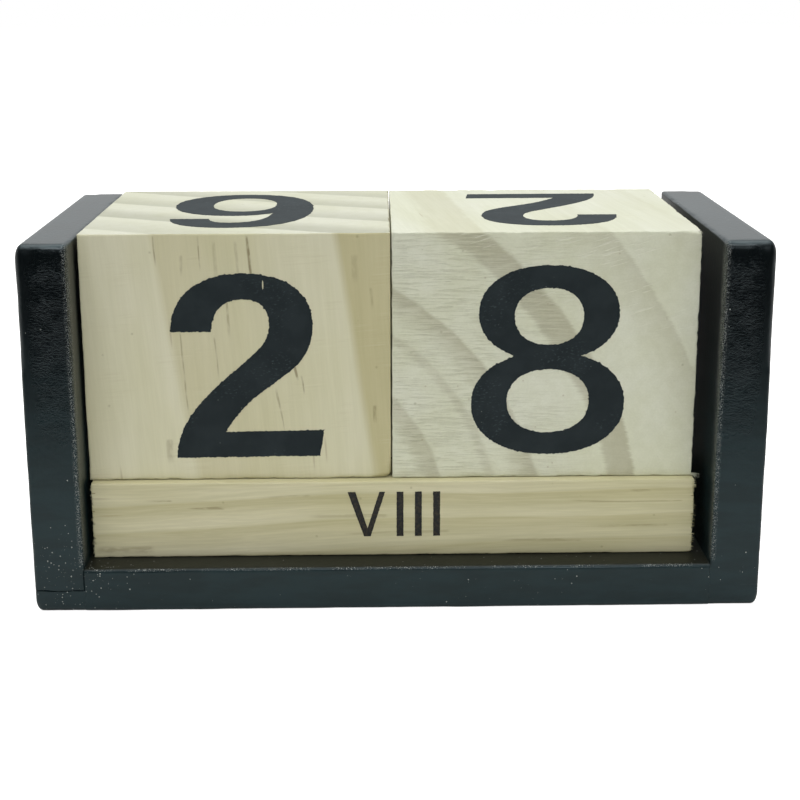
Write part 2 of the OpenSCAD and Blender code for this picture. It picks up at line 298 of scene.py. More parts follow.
def pine(name, centre, fibre, outward, pith, rings, side, cut_end, wander=5.0, taper=0.0, grain=1.0,
         planer=0.08, dashes=(), dash_axes="XZ", front=0.0, sawn=False):
    """Planed pine, unfinished: matt, with the fibres just felt. The growth rings are cylinders round the
    pith, so that each face shows its own cut of them: stripes along the grain, arcs across it.

    centre is the piece's middle in mm, fibre the way of the grain, outward roughly the way across the rings,
    and pith the place of the tree's centre across the grain. rings is a list like TENS_RINGS. side and
    cut_end are the colours of early and late wood along and across the grain. wander is how far the rings
    stray, taper how much wider they get for each mm up the grain, grain and planer how strongly the fibres
    and the planer's marks show. dashes, dash_axes and front are for brown_dashes. sawn wood keeps the marks
    of the saw on its cut ends."""
    material, tree = new_material(name)
    along = Vector(fibre).normalized()
    across = (Vector(outward) - Vector(outward).dot(along) * along).normalized()
    beside = along.cross(across)
    place = add(tree, "VectorMath", object_mm(tree), centre, **LESS)
    log = add(tree, "CombineXYZ", *[add(tree, "VectorMath", place, axis, operation="DOT_PRODUCT")
                                    for axis in (across, beside, along)])
    up_the_grain = add(tree, "VectorMath", place, along, operation="DOT_PRODUCT")

    # The rings stray a little, mostly across the grain
    bent = log
    for lengths, reach in (((26, 26, 90), wander), ((5, 5, 40), 0.7)):
        stray = add(tree, "TexNoise", add(tree, "VectorMath", log, lengths, **OVER), 1, 2).outputs["Color"]
        offset = add(tree, "VectorMath", stray, (0.5, 0.5, 0.5), **LESS)
        bent = add(tree, "VectorMath", bent, add(tree, "VectorMath", offset, reach, operation="SCALE"))
    from_pith = add(tree, "VectorMath", bent, (pith[0], pith[1], 0), **LESS)
    from_pith = add(tree, "VectorMath", from_pith, (1, 1, 0), **TIMES)
    radius = add(tree, "Math", up_the_grain, -taper, add(tree, "VectorMath", from_pith, operation="LENGTH"),
                 **TIMES_PLUS)
    if sawn:
        # The blade smeared the ring edges sideways
        cuts = add(tree, "TexNoise", add(tree, "VectorMath", place, (5, 6, 0.2), **OVER), 1, 2, 0.7)
        radius = add(tree, "Math", radius, add(tree, "MapRange", cuts, 0.25, 0.75, -0.36, 0.36, **SOFT))
    late_wood = growth_rings(tree, radius, rings)

    outwards = add(tree, "TexCoord").outputs["Normal"]
    facing = add(tree, "VectorMath", outwards, along, operation="DOT_PRODUCT")
    end_on = add(tree, "Math", facing, operation="ABSOLUTE")
    end_face = add(tree, "MapRange", end_on, 0.6, 0.95, **SOFT)
    lengthwise = add(tree, "Mix", late_wood, linear(side[0]), linear(side[1]), **COLOURS)
    crosswise = add(tree, "Mix", late_wood, linear(cut_end[0]), linear(cut_end[1]), **COLOURS)
    colour = add(tree, "Mix", end_face, lengthwise, crosswise, **COLOURS)

    # Fibres 0.4 mm across, stripes of them, and clouds; the darker wood is also the yellower
    fibres = add(tree, "TexNoise", add(tree, "VectorMath", bent, (0.42, 0.42, 16), **OVER), 1, 3, 0.6)
    stripes = add(tree, "TexNoise", add(tree, "VectorMath", bent, (2.4, 2.4, 34), **OVER), 1, 3)
    clouds = add(tree, "TexNoise", add(tree, "VectorMath", log, (17, 17, 34), **OVER), 1, 3)
    for pattern, lo, hi, depth, in_blue in (
            (fibres, 0.36, 0.68, 0.04 * grain, 1.2),
            (stripes, 0.3, 0.7, 0.05 * grain, 1.5),
            (clouds, 0.3, 0.7, 0.055, 2.2)):
        level, blue = [add(tree, "MapRange", pattern, lo, hi, 1 - 0.6 * change, 1 + 0.4 * change, **SOFT)
                       for change in (depth, depth * in_blue)]
        tint = add(tree, "CombineColor", level, level, blue)
        colour = add(tree, "Mix", 1.0, colour, tint, blend_type="MULTIPLY", **COLOURS)

    if planer:
        colour = planer_marks(tree, colour, log, end_on, planer)

    # Resin ducts: brown dashes a third of a millimetre wide and some millimetres long
    ducts = add(tree, "TexVoronoi", add(tree, "VectorMath", bent, (3.4, 3.4, 52), **OVER), 1)
    duct = add(tree, "MapRange", ducts, 0.03, 0.08, 0.3, 0, **SOFT)
    colour = tinted(tree, colour, (duct, "8f7a4e"))
    if dashes:
        colour = brown_dashes(tree, colour, place, stripes, dashes, dash_axes, front)

    # Dents from handling, half a millimetre across
    dents = add(tree, "TexVoronoi", place, 1 / 5)
    lot = add(tree, "SeparateColor", dents.outputs["Color"])
    dent = product(tree, add(tree, "Math", lot.outputs[0], 0.5, operation="GREATER_THAN"),
                   add(tree, "MapRange", dents, 0.02, 0.08, 1, 0, **SOFT))
    colour = tinted(tree, colour, (product(tree, dent, 0.3), "8a845f"))

    # Relief: raised fibres, and the late wood standing a little proud
    proud = add(tree, "Math", late_wood, 0.01, **TIMES)
    height = add(tree, "Math", fibres, 0.012, proud, **TIMES_PLUS)
    height = add(tree, "Math", dent, -0.06, height, **TIMES_PLUS)
    if sawn:
        colour, height = saw_marks(tree, colour, height, place, cuts, end_face)
    surface(tree, height, 1.0, {"Base Color": colour, "Roughness": 0.62, "IOR": 1.45})
    return material


def bare_specks(tree, place, beside, back, up, lip, crumbs):
    """Where pale wood and dust show through the paint"""
    # Dust nibs up to a quarter of a millimetre across, most of them round the lower left joint. Each nib's
    # lot says whether it is there, how big it is and how pale.
    nibs = add(tree, "TexVoronoi", place, 1 / 0.5)
    lot = add(tree, "SeparateColor", nibs.outputs["Color"])
    patches = add(tree, "TexNoise", place, 1 / 14, 2)
    left_joint = (-INNER_X - 1.8, FRONT_Y, LEDGE_Z - 1.3)
    from_joint = add(tree, "VectorMath", place, left_joint, operation="DISTANCE")
    chance = add(tree, "MapRange", patches, 0.3, 0.75, 0.006, 0.07, **SOFT)
    chance = product(tree, chance,
                     add(tree, "MapRange", beside, OUTER_X - 1.1, OUTER_X - 0.1, 1, 0.3, **SOFT),
                     add(tree, "MapRange", up, 12, 26, 1, 0.3, **SOFT))
    chance = add(tree, "Math", chance, add(tree, "MapRange", from_joint, 2, 15, 0.55, 0, **SOFT))
    chosen = add(tree, "Math", lot.outputs[0], chance, operation="LESS_THAN")
    size = add(tree, "MapRange", lot.outputs[1], 0, 1, 0.08, 0.27)
    nib = product(tree, chosen, add(tree, "Math", nibs, size, operation="LESS_THAN"),
                  add(tree, "MapRange", lot.outputs[2], 0, 1, 0.35, 1))

    # Crumbs in a broken row along the lip, and where the boards' inner edges were rubbed
    gaps = add(tree, "TexNoise", place, 1 / 5, 2)
    row = product(tree, lip, add(tree, "MapRange", crumbs, 0.6, 0.65, **SOFT),
                  add(tree, "MapRange", gaps, 0.4, 0.6, **SOFT))
    rubbed = product(tree, add(tree, "MapRange", beside, INNER_X + 0.5, INNER_X + 1.3, 1, 0, **SOFT),
                     add(tree, "MapRange", back, FRONT_Y + 0.8, FRONT_Y + 3.4, 1, 0, **SOFT),
                     add(tree, "MapRange", up, LEDGE_Z + 0.3, LEDGE_Z + 1.7, **SOFT),
                     add(tree, "MapRange", crumbs, 0.52, 0.66, 0, 0.5, **SOFT))
    speck = add(tree, "Math", nib, row, operation="MAXIMUM")
    return add(tree, "Math", speck, rubbed, operation="MAXIMUM")


def black_paint(name, brushed):
    """Pine brushed with semi-gloss black acrylic: a skin that mirrors softly, wrinkled where it dried thick
    near the tops of the side boards, thin and rougher on the ledge, with dust nibs and bare crumbs that show
    as pale specks. Painted shade darkens the paint towards the tops and in dark specks among the crumbs on
    the lip, and the ledge's brownish tint is a painted warm bounce from the pine. brushed gives the lengths
    of the brush marks in mm along each axis."""
    material, tree = new_material(name)
    place = object_mm(tree)
    at = add(tree, "SeparateXYZ", place)
    beside = add(tree, "Math", at.outputs["X"], operation="ABSOLUTE")
    back, up = at.outputs["Y"], at.outputs["Z"]
    front_face = add(tree, "MapRange", back, FRONT_Y + 0.25, FRONT_Y + 0.8, 1, 0, **SOFT)
    between_boards = add(tree, "MapRange", beside, INNER_X - 0.5, INNER_X + 0.5, 1, 0, **SOFT)

    # The lip is the base's front top edge; crumbs on it are bare, and the dark specks among them are painted
    # shade
    from_lip = add(tree, "Math", add(tree, "Math", up, LEDGE_Z - 0.2, **LESS), operation="ABSOLUTE")
    lip = product(tree, front_face, between_boards, add(tree, "MapRange", from_lip, 0.1, 0.4, 1, 0, **SOFT))
    crumbs = add(tree, "TexNoise", place, 1 / 0.2, 1)
    bare = bare_specks(tree, place, beside, back, up, lip, crumbs)
    # Painted shade: dark specks along the lip, between the bare crumbs
    lip_shade_specks = product(tree, lip, add(tree, "MapRange", crumbs, 0.42, 0.37, 0, 0.9, **SOFT))

    # The coat is thicker towards the tops and thin on the ledge; the darkening towards the tops is painted
    # shade
    strokes = add(tree, "TexNoise", add(tree, "VectorMath", place, (9, 9, 2.2), **OVER), 1, 3)
    stroke = add(tree, "MapRange", strokes, 0.3, 0.7, **SOFT)
    # Painted shade: the paint is darker towards the tops of the boards, where less of the pale floor is
    # mirrored
    shade_towards_tops = product(tree, add(tree, "MapRange", up, 26, 66, **SOFT),
                   add(tree, "MapRange", up, TOP_Z - 1, TOP_Z - 0.2, 1, 0, **SOFT))
    ledge = product(tree, between_boards,
                    add(tree, "MapRange", up, LEDGE_Z - 0.4, LEDGE_Z - 0.05, **SOFT),
                    add(tree, "MapRange", up, LEDGE_Z + 0.1, LEDGE_Z + 0.5, 1, 0, **SOFT))
    # The ledge's brownish tint is a painted warm bounce from the pine bars; the rest are the paint's own
    # marks and the painted shade above
    colour = tinted(tree, linear("0f1d1f"), (stroke, "142528"), (shade_towards_tops, "04090b"), (ledge, "18170c"),
                    (lip_shade_specks, "05080a"), (bare, "b4b8b3"))

    # Wrinkles on the thick coat; brush marks and dust under the skin elsewhere
    dense = add(tree, "TexNoise", place, 1 / 3.5, 2)
    thick = product(tree, front_face, add(tree, "MapRange", up, 28, 56, **SOFT),
                    add(tree, "MapRange", up, TOP_Z - 6.6, TOP_Z - 1.6, 1, 0.3, **SOFT),
                    add(tree, "MapRange", beside, OUTER_X - 5.1, OUTER_X - 1.1, 1, 0.1, **SOFT),
                    add(tree, "MapRange", dense, 0.3, 0.6, 0.4, 1, **SOFT))
    stretched = add(tree, "VectorMath", place, (0.85, 0.85, 0.42), **OVER)
    wrinkles = add(tree, "TexNoise", {
        "Vector": stretched, "Scale": 1, "Detail": 3, "Roughness": 0.6, "Distortion": 1.0})
    peel = add(tree, "TexNoise", place, 1 / 0.9, 3)
    bristles = add(tree, "TexNoise", add(tree, "VectorMath", place, brushed, **OVER), 1, 3)
    brush_depth = add(tree, "MapRange", beside, OUTER_X - 1.1, OUTER_X - 0.1, 0.02, 0.06, **SOFT)
    wrinkle_depth = add(tree, "Math", thick, 0.19, 0.012, **TIMES_PLUS)
    height = add(tree, "Math", peel, 0.035, **TIMES)
    for pattern, depth in ((bristles, brush_depth), (wrinkles, wrinkle_depth), (bare, 0.03)):
        height = add(tree, "Math", pattern, depth, height, **TIMES_PLUS)
    rough = add(tree, "MapRange", add(tree, "Math", ledge, thick, **LESS), -1, 1, 0.15, 0.5, **SOFT)
    surface(tree, height, 1.0, {
        "Base Color": colour, "Roughness": rough, "IOR": 1.45, "Specular Tint": (0.8, 0.95, 1, 1)})
    return material


def digit_ink():
    """Thick slate-black screen ink on wood: nearly matt, with fine scuffs and pinholes"""
    material, tree = new_material("slate_screen_ink")
    place = object_mm(tree)
    cloud = add(tree, "TexNoise", place, 1 / 5, 3)
    thinner = add(tree, "MapRange", cloud, 0.3, 0.7, **SOFT)
    handled = add(tree, "TexNoise", place, 1 / 9, 1)
    scuffs = add(tree, "TexNoise", add(tree, "VectorMath", place, (0.7, 0.5, 0.35), **OVER), 1, 2)
    scuffed = product(tree, add(tree, "MapRange", handled, 0.5, 0.68, **SOFT),
                      add(tree, "MapRange", scuffs, 0.56, 0.72, 0, 0.35, **SOFT))
    pins = add(tree, "TexVoronoi", place, 1 / 1.6)
    lot = add(tree, "SeparateColor", pins.outputs["Color"])
    pin = product(tree, add(tree, "Math", lot.outputs[0], 0.86, operation="GREATER_THAN"),
                  add(tree, "MapRange", pins, 0.03, 0.09, 0.4, 0, **SOFT))
    colour = tinted(tree, linear("1f282b"), (thinner, "262f32"), (scuffed, "4c585b"), (pin, "9fa399"))
    grain = add(tree, "TexNoise", place, 1 / 0.45, 3)
    surface(tree, grain, 0.03, {"Base Color": colour, "Roughness": 0.7, "IOR": 1.3})
    return material


def burnt_marks():
    """Marks burnt into the wood and filled with dark paint: brown scorch shows through in patches"""
    material, tree = new_material("scorched_and_filled")
    place = object_mm(tree)
    patches = add(tree, "TexNoise", place, 1 / 0.7, 2)
    scorched = add(tree, "MapRange", patches, 0.42, 0.62, **SOFT)
    colour = tinted(tree, linear("1d1f1f"), (scorched, "332d24"))
    surface(tree, patches, 0.06, {"Base Color": colour, "Roughness": 0.7, "IOR": 1.45})
    return material


def brad_steel():
    """Bright drawn wire: fine lines that the drawing die left along it"""
    material, tree = new_material("drawn_steel_wire")
    lines = add(tree, "TexNoise", add(tree, "VectorMath", object_mm(tree), (0.25, 0.25, 2), **OVER), 1, 2)
    surface(tree, lines, 0.02, {"Base Color": linear("b9b8b2"), "Metallic": 1.0, "Roughness": 0.34})
    return material


# ---- Wooden shapes ----

# In mm: how far the ink stands out from the wood, the meshes' cells, and how far from an edge they are finer
INK_FILM = 0.035
BLOCK_CELL = 0.8
BOARD_CELL = 1.1
EDGE_ZONE = 2.4


def other_axes(axis):
    return [other for other in range(3) if other != axis]


def lumps(points, size, seed):
    """Smooth noise from about -1 to 1 at the points, in lumps of the given size; seed picks the pattern"""
    shift = Vector((seed, 2 * seed, 3 * seed))
    return np.array([noise.noise(Vector(p) + shift) for p in points / np.array(size)])


def grid_lines(lo, hi, cell):
    """Places of grid lines from lo to hi: close together near both ends, about a cell apart between them"""
    near = EDGE_ZONE * np.array([0, 0.05, 0.12, 0.21, 0.32, 0.46, 0.64])
    count = max(1, round((hi - lo - 2 * EDGE_ZONE) / cell))
    even = np.linspace(lo + EDGE_ZONE, hi - EDGE_ZONE, count + 1)
    return np.concatenate([lo + near, even, hi - near[::-1]])


def box_shell(lines):
    """Points and faces of a closed box whose six sides are grids with the given lines along X, Y and Z.
    Each point has a code, so that two sides share the points where they meet."""
    counts = [len(places) for places in lines]
    faces = []
    for axis in range(3):
        a, b = other_axes(axis)
        across, up = np.meshgrid(np.arange(counts[a]), np.arange(counts[b]), indexing="ij")
        for at in (0, counts[axis] - 1):
            index = [None] * 3
            index[axis], index[a], index[b] = np.full_like(across, at), across, up
            code = (index[0] * counts[1] + index[1]) * counts[2] + index[2]
            quads = np.stack([code[:-1, :-1], code[1:, :-1], code[1:, 1:], code[:-1, 1:]], -1).reshape(-1, 4)
            outward = (at > 0) == (axis != 1)
            faces.append(quads if outward else quads[:, ::-1])
    codes, faces = np.unique(np.concatenate(faces), return_inverse=True)
    faces = faces.reshape(-1, 4)
    index = [codes // (counts[1] * counts[2]), codes // counts[2] % counts[1], codes % counts[2]]
    return np.stack([lines[i][index[i]] for i in range(3)], 1), faces


def worn(points, lo, hi, radius, wear, seed, flatness=0.015):
    """Rounds a box's edges and wears them, all faces within lo and hi. radius is each point's edge radius
    along X, Y and Z, wear the depth of the nicks, flatness that of the hollows in the faces; all in mm."""
    least = 1e-6
    core = np.clip(points, lo + radius, hi - radius)
    out = (points - core) / np.maximum(radius, least)
    away = out / np.maximum(np.linalg.norm(out, axis=1, keepdims=True), least)
    to_faces = np.sort(np.minimum(points - lo, hi - points), axis=1)
    at_edge = np.exp(-(to_faces[:, 1] / 0.8) ** 2)
    nicks = np.clip(lumps(points, 1.1, seed) - 0.15, 0, 1)
    nicks += 0.6 * np.clip(lumps(points, 3.7, seed + 5), 0, 1)
    hollow = flatness * (0.5 + 0.5 * lumps(points, 19.0, 9))
    depth = wear * at_edge * nicks + hollow
    return core + radius * away - away * depth[:, None]


def splinters(edges, seed):
    """Torn fibres: thin three-sided spikes. edges gives, for each group, both ends of the line they stand on,
    the way they point, their number and their longest length, in mm."""
    draw = np.random.default_rng(seed)
    points, faces = [], []
    for start, end, way, count, longest in edges:
        start, end, way = Vector(start), Vector(end), Vector(way).normalized()
        for _ in range(count):
            foot = start.lerp(end, draw.random())
            lean = Vector(draw.normal(0, 0.35, 3))
            tip = foot + (way + lean).normalized() * longest * (0.35 + 0.65 * draw.random())
            thick = 0.05 + 0.05 * draw.random()
            side = way.orthogonal().normalized() * thick
            root = foot - way * 0.25
            first = len(points)
            for turn in range(3):
                points.append(root + Matrix.Rotation(turn * math.tau / 3, 3, way) @ side)
            points.append(tip)
            faces += [(first + i, first + (i + 1) % 3, first + 3) for i in range(3)]
            faces.append((first + 2, first + 1, first))
    return np.array(points), faces


def make_piece(name, points, faces, material, body, node, fibres=None):
    """A smooth mesh from points in mm that rides on a body and stands for a CAD node, with its torn fibres"""
    points = [tuple(p) for p in np.asarray(points) * MM]
    faces = [tuple(int(i) for i in f) for f in faces]
    if fibres:
        first = len(points)
        points += [tuple(p) for p in fibres[0] * MM]
        faces += [tuple(first + i for i in f) for f in fibres[1]]
    mesh = bpy.data.meshes.new(name)
    mesh.from_pydata(points, [], faces)
    mesh.polygons.foreach_set("use_smooth", [True] * len(mesh.polygons))
    mesh.set_sharp_from_angle(angle=math.radians(60))
    mesh.materials.append(material)
    piece = bpy.data.objects.new(name, mesh)
    scene.collection.objects.link(piece)
    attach(piece, body)
    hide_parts(node)
    return piece


def mend(piece, step):
    """Runs one of bmesh's steps on a piece's mesh"""
    mesh = bmesh.new()
    mesh.from_mesh(piece.data)
    step(mesh)
    mesh.to_mesh(piece.data)
    mesh.free()


def merge_flat_faces(mesh):
    """Merges the points that an edge radius of 0 has laid on each other, so that each face keeps an area"""
    bmesh.ops.dissolve_degenerate(mesh, edges=mesh.edges, dist=0.003 * MM)


def turn_outwards(mesh):
    bmesh.ops.recalc_face_normals(mesh, faces=mesh.faces)


def wooden_block(name, node, body, material, radius, wear, seed, edges, corners=(), torn=0.0,
                 foot_wear=None):
    """A loose block or bar, its faces one film of ink behind the numerals. edges are for splinters. corners
    gives places where an edge is rounder, how far that reaches and by how much. torn is how deep the saw has
    torn the ends along X, and foot_wear the wear of the lower edges, where it differs. All in mm."""
    lo, hi = box_mm(node)
    lo, hi = lo + INK_FILM, hi - INK_FILM
    # A torn end needs cells as fine as its tears
    cells = (BLOCK_CELL, 0.5, 0.22) if torn else (BLOCK_CELL, BLOCK_CELL, BLOCK_CELL)
    points, faces = box_shell([grid_lines(lo[i], hi[i], cells[i]) for i in range(3)])
    rounding = radius * (1 + 0.45 * lumps(points, 6.0, seed + 2))
    for at, reach, more in corners:
        away = np.linalg.norm(points - np.array(at), axis=1)
        rounding = rounding + more * np.exp(-(away / reach) ** 2)
    from_end = np.minimum(points[:, 0] - lo[0], hi[0] - points[:, 0])
    ends = points * (0.15, 1, 1)
    tears = np.clip(lumps(ends, 0.42, seed + 3) - 0.05, 0, 1) * 1.8 + 0.3 * lumps(ends, 1.6, seed)
    to_middle = np.where(points[:, 0] > middle(node)[0], -1, 1)
    inward = to_middle * torn * tears * np.clip(1 - from_end / 1.5, 0, 1)
    if foot_wear:
        foot = 1.2
        wear = np.where(points[:, 2] < lo[2] + foot, foot_wear, wear)
    points = worn(points, lo, hi, np.repeat(rounding[:, None], 3, 1), wear, seed)
    points[:, 0] = np.clip(points[:, 0] + inward, lo[0], hi[0])
    fibres, fibre_faces = splinters(edges, seed)
    # They lie flat between the blocks and the bars, and hang down only past the bars' right-hand end
    past_bars = np.clip(fibres[:, 0] - box_mm("front_month_bar")[1][0], 0, None)
    fibres[:, 2] = np.clip(fibres[:, 2], lo[2] - 0.4 * past_bars, hi[2])
    make_piece(name, points, faces, material, body, node, (fibres, fibre_faces))


def painted_edge(points):
    """Edge radius of the painted boards in mm: one pattern for all, so that it runs on across the joints"""
    return 0.8 * (1 + 0.25 * lumps(points, 9.0, 4))


def joint_wave(points):
    """How far the left-hand joint's line wanders up or down in mm; board and base share it, and so fit"""
    wave = 0.22 * lumps(points * (1, 1, 0), 3.2, 77)
    return np.where(points[:, 0] < 0, wave, 0)


def panel(name, node, side, material, seed):
    """A side board: its outer and front top edges are rounded more than the rest, its foot is square"""
    lo, hi = box_mm(node)
    points, faces = box_shell([grid_lines(lo[i], hi[i], BOARD_CELL) for i in range(3)])
    x, y, z = points.T
    centre = middle(node)
    top = np.clip((z - centre[2]) / 20, 0, 1)
    outer = np.clip(side * (x - centre[0]) / 2, 0, 1)
    # Paint has filled the right-hand joint; the left one shows as an uneven line
    seam = 0.15 + 0.1 * lumps(points, 2.5, seed) if side < 0 else np.zeros(len(points))
    edge = np.where((z < LEDGE_Z) & (outer < 0.5), 3.4 * seam, painted_edge(points))
    at_front = np.exp(-((y - lo[1]) / 3) ** 2)
    top_edge = np.where(outer > 0.5, 3.0, 0.6 + 1.4 * at_front)
    radius = np.stack([
        np.where(top * outer > 0.5, 1.5, edge),
        edge + top * (1.1 + 0.5 * lumps(points, 5.0, seed + 1)),
        np.where(z > centre[2], top_edge, seam)], 1)
    upper_wear = np.where(top * (1 - outer) > 0.5, 0.32, 0.16)
    wear = np.where(z < LEDGE_Z, 0.1 if side < 0 else 0.0, upper_wear)
    wave = joint_wave(points) * np.clip(1 - (z - lo[2]) / 3, 0, 1)
    points = worn(points, lo, hi, radius, wear, seed, flatness=0.05)
    points[:, 2] += wave
    mend(make_piece(name, points, faces, material, "tray", node), merge_flat_faces)


# The brads' heads and the holes they are sunk in, in mm
BRAD_HEAD = 2.6
BRAD_DEPTH = 1.3


def sunk_holes(board, places, radius, depth):
    """Sinks round holes into a board's underside, where the brads' heads lie"""
    sides = 28
    below = -1
    points, faces = [], []
    for x, y in places:
        first = len(points)
        for z in (below, depth):
            points += [((x + radius * math.cos(turn)) * MM, (y + radius * math.sin(turn)) * MM, z * MM)
                       for turn in np.linspace(0, math.tau, sides, endpoint=False)]
        lower, upper = range(first, first + sides), range(first + sides, first + 2 * sides)
        for i in range(sides):
            after = (i + 1) % sides
            faces.append((lower[i], lower[after], upper[after], upper[i]))
        faces += [tuple(reversed(lower)), tuple(upper)]
    drill_mesh = bpy.data.meshes.new("drill")
    drill_mesh.from_pydata(points, [], faces)
    drill = bpy.data.objects.new("drill", drill_mesh)
    scene.collection.objects.link(drill)
    cut = board.modifiers.new("holes", "BOOLEAN")
    cut.operation = "DIFFERENCE"
    cut.solver = "EXACT"
    cut.object = drill
    bpy.context.view_layer.update()
    drilled = bpy.data.meshes.new_from_object(board.evaluated_get(bpy.context.evaluated_depsgraph_get()))
    board.modifiers.clear()
    board.data = drilled
    bpy.data.objects.remove(drill)


def base(material):
    """The base board, its ends cut down to the tongues that carry the side boards, with the brads' holes"""
    lo, hi = box_mm("base_board")
    xs = grid_lines(lo[0], hi[0], BOARD_CELL)
    at_steps = [end * (INNER_X + apart) for end in (-1, 1) for apart in (-0.3, -0.01, 0.01, 0.3)]
    xs = np.sort(np.concatenate([xs[np.abs(np.abs(xs) - INNER_X) > 0.5], at_steps]))
    points, faces = box_shell([xs] + [grid_lines(lo[i], hi[i], BOARD_CELL) for i in (1, 2)])
    on_tongue = np.abs(points[:, 0]) > INNER_X
    high = np.where(on_tongue, TONGUE_Z, hi[2])
    points[:, 2] *= high / hi[2]
    highest = np.stack([np.full(len(points), hi[0]), np.full(len(points), hi[1]), high], 1)
    upper = points[:, 2] > high / 2
    on_left = points[:, 0] < 0
    edge = painted_edge(points)
    seam = np.where(on_left, 0.14 + 0.1 * lumps(points, 2.5, 6), 0.0)
    wave = np.where(on_tongue & upper, joint_wave(points), 0)
    upper_edge = np.where(on_tongue, seam, edge)
    lower_edge = np.where(on_tongue, 3.0, edge)
    radius = np.stack([np.where(upper, edge, 1.5), edge, np.where(upper, upper_edge, lower_edge)], 1)
    radius[:, 2] = np.minimum(radius[:, 2], 0.5 * high)
    wear = np.where(on_tongue & upper, np.where(on_left, 0.08, 0.0), 0.14)
    points = worn(points, lo, highest, radius, wear, 4, flatness=0.05)
    points[:, 2] += wave
    board = make_piece("base_board_painted", points, faces, material, "tray", "base_board")
    mend(board, merge_flat_faces)
    lo, hi = box_mm("panel_brads")
    inset = BRAD_HEAD / 2
    places = [(x, y) for x in (lo[0] + inset, hi[0] - inset) for y in (lo[1] + inset, hi[1] - inset)]
    sunk_holes(board, places, BRAD_HEAD / 2, BRAD_DEPTH)


# ---- Numerals ----

def flat_outlines(node, lo, hi):
    """The outlines of a node's marks on each side of the box lo to hi: (axis, sign, loops of points in mm)"""
    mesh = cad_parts[node].data
    # Points in the same ten-thousandth of a millimetre are one
    step, steps = 1e-7, 1e7
    places = {}
    number = [places.setdefault(tuple(round(c * steps) for c in v.co), len(places)) for v in mesh.vertices]
    points = np.array(list(places)) * step / MM
    for axis in range(3):
        for sign, plane in ((-1, lo[axis]), (1, hi[axis])):
            follow = {}
            for face in mesh.polygons:
                ring = [number[i] for i in face.vertices]
                if all(abs(points[i][axis] - plane) < 0.01 for i in ring):
                    for a, b in zip(ring, ring[1:] + ring[:1]):
                        if follow.get(b) and a in follow[b]:
                            follow[b].remove(a)
                        else:
                            follow.setdefault(a, []).append(b)
            loops = []
            while any(follow.values()):
                start = next(a for a in follow if follow[a])
                loop = [start]
                while follow.get(loop[-1]):
                    after = follow[loop[-1]].pop()
                    if after == start:
                        break
                    loop.append(after)
                loops.append(points[loop])
            if loops:
                yield axis, sign, loops


def without_knots(loop, a, b):
    """The loop without the points of small knots, where it crosses itself within a few steps"""
    def turns_left(p, q, r):
        return (q[a] - p[a]) * (r[b] - p[b]) > (q[b] - p[b]) * (r[a] - p[a])

    few = 8
    kept = np.ones(len(loop), bool)
    for i in range(len(loop) - 1):
        for j in range(i + 2, min(i + few, len(loop) - 1)):
            p, q, r, s = loop[i], loop[i + 1], loop[j], loop[j + 1]
            if turns_left(p, q, r) != turns_left(p, q, s) and turns_left(r, s, p) != turns_left(r, s, q):
                kept[i + 1:j + 1] = False
    return loop[kept]


def ragged(loop, axis, pitch, rough, seed):
    """The loop with a point about every pitch mm, each pushed in or out a little as ink runs along fibres"""
    a, b = other_axes(axis)
    made = []
    for start, end in zip(loop, np.roll(loop, -1, 0)):
        count = max(1, round(float(np.linalg.norm(end - start)) / pitch))
        made += [start + (end - start) * i / count for i in range(count)]
    made = np.array(made)
    tangent = np.roll(made, -1, 0) - np.roll(made, 1, 0)
    tangent /= np.linalg.norm(tangent, axis=1, keepdims=True) + 1e-9
    normal = np.zeros_like(made)
    normal[:, a], normal[:, b] = tangent[:, b], -tangent[:, a]
    push = 0.25 * lumps(made, 2.1, seed) + 0.9 * lumps(made, 0.45, seed + 3)
    spikes = np.clip(lumps(made, 0.4, seed + 7) - 0.25, 0, 1) * 2.2
    return without_knots(made + normal * (rough * (push + spikes))[:, None], a, b)


def area(loop, axis):
    a, b = other_axes(axis)
    x, y = loop[:, a], loop[:, b]
    return float(np.sum(x * np.roll(y, -1) - np.roll(x, -1) * y) / 2)


def contains(outer, point, axis):
    a, b = other_axes(axis)
    inside = False
    for p, q in zip(outer, np.roll(outer, -1, 0)):
        if (p[b] > point[b]) != (q[b] > point[b]):
            if point[a] < (q[a] - p[a]) * (point[b] - p[b]) / (q[b] - p[b]) + p[a]:
                inside = not inside
    return inside


def ink_film(rings, axis, sign, thickness):
    """Points and faces of a thin closed solid; rings are its outline and its holes"""
    triangles = tessellate_polygon([[Vector(p) for p in ring] for ring in rings])
    top = np.concatenate(rings)
    under = top.copy()
    under[:, axis] -= sign * thickness
    count = len(top)
    faces = []
    for triangle in triangles:
        a, b, c = (Vector(top[i]) for i in triangle)
        if (b - a).cross(c - a)[axis] * sign <= 0:
            triangle = triangle[::-1]
        faces.append(list(triangle))
        faces.append([count + i for i in triangle[::-1]])
    begin = 0
    for ring in rings:
        size = len(ring)
        for i in range(size):
            j = (i + 1) % size
            faces.append([begin + i, begin + j, count + begin + j, count + begin + i])
        begin += size
    return np.concatenate([top, under]), faces


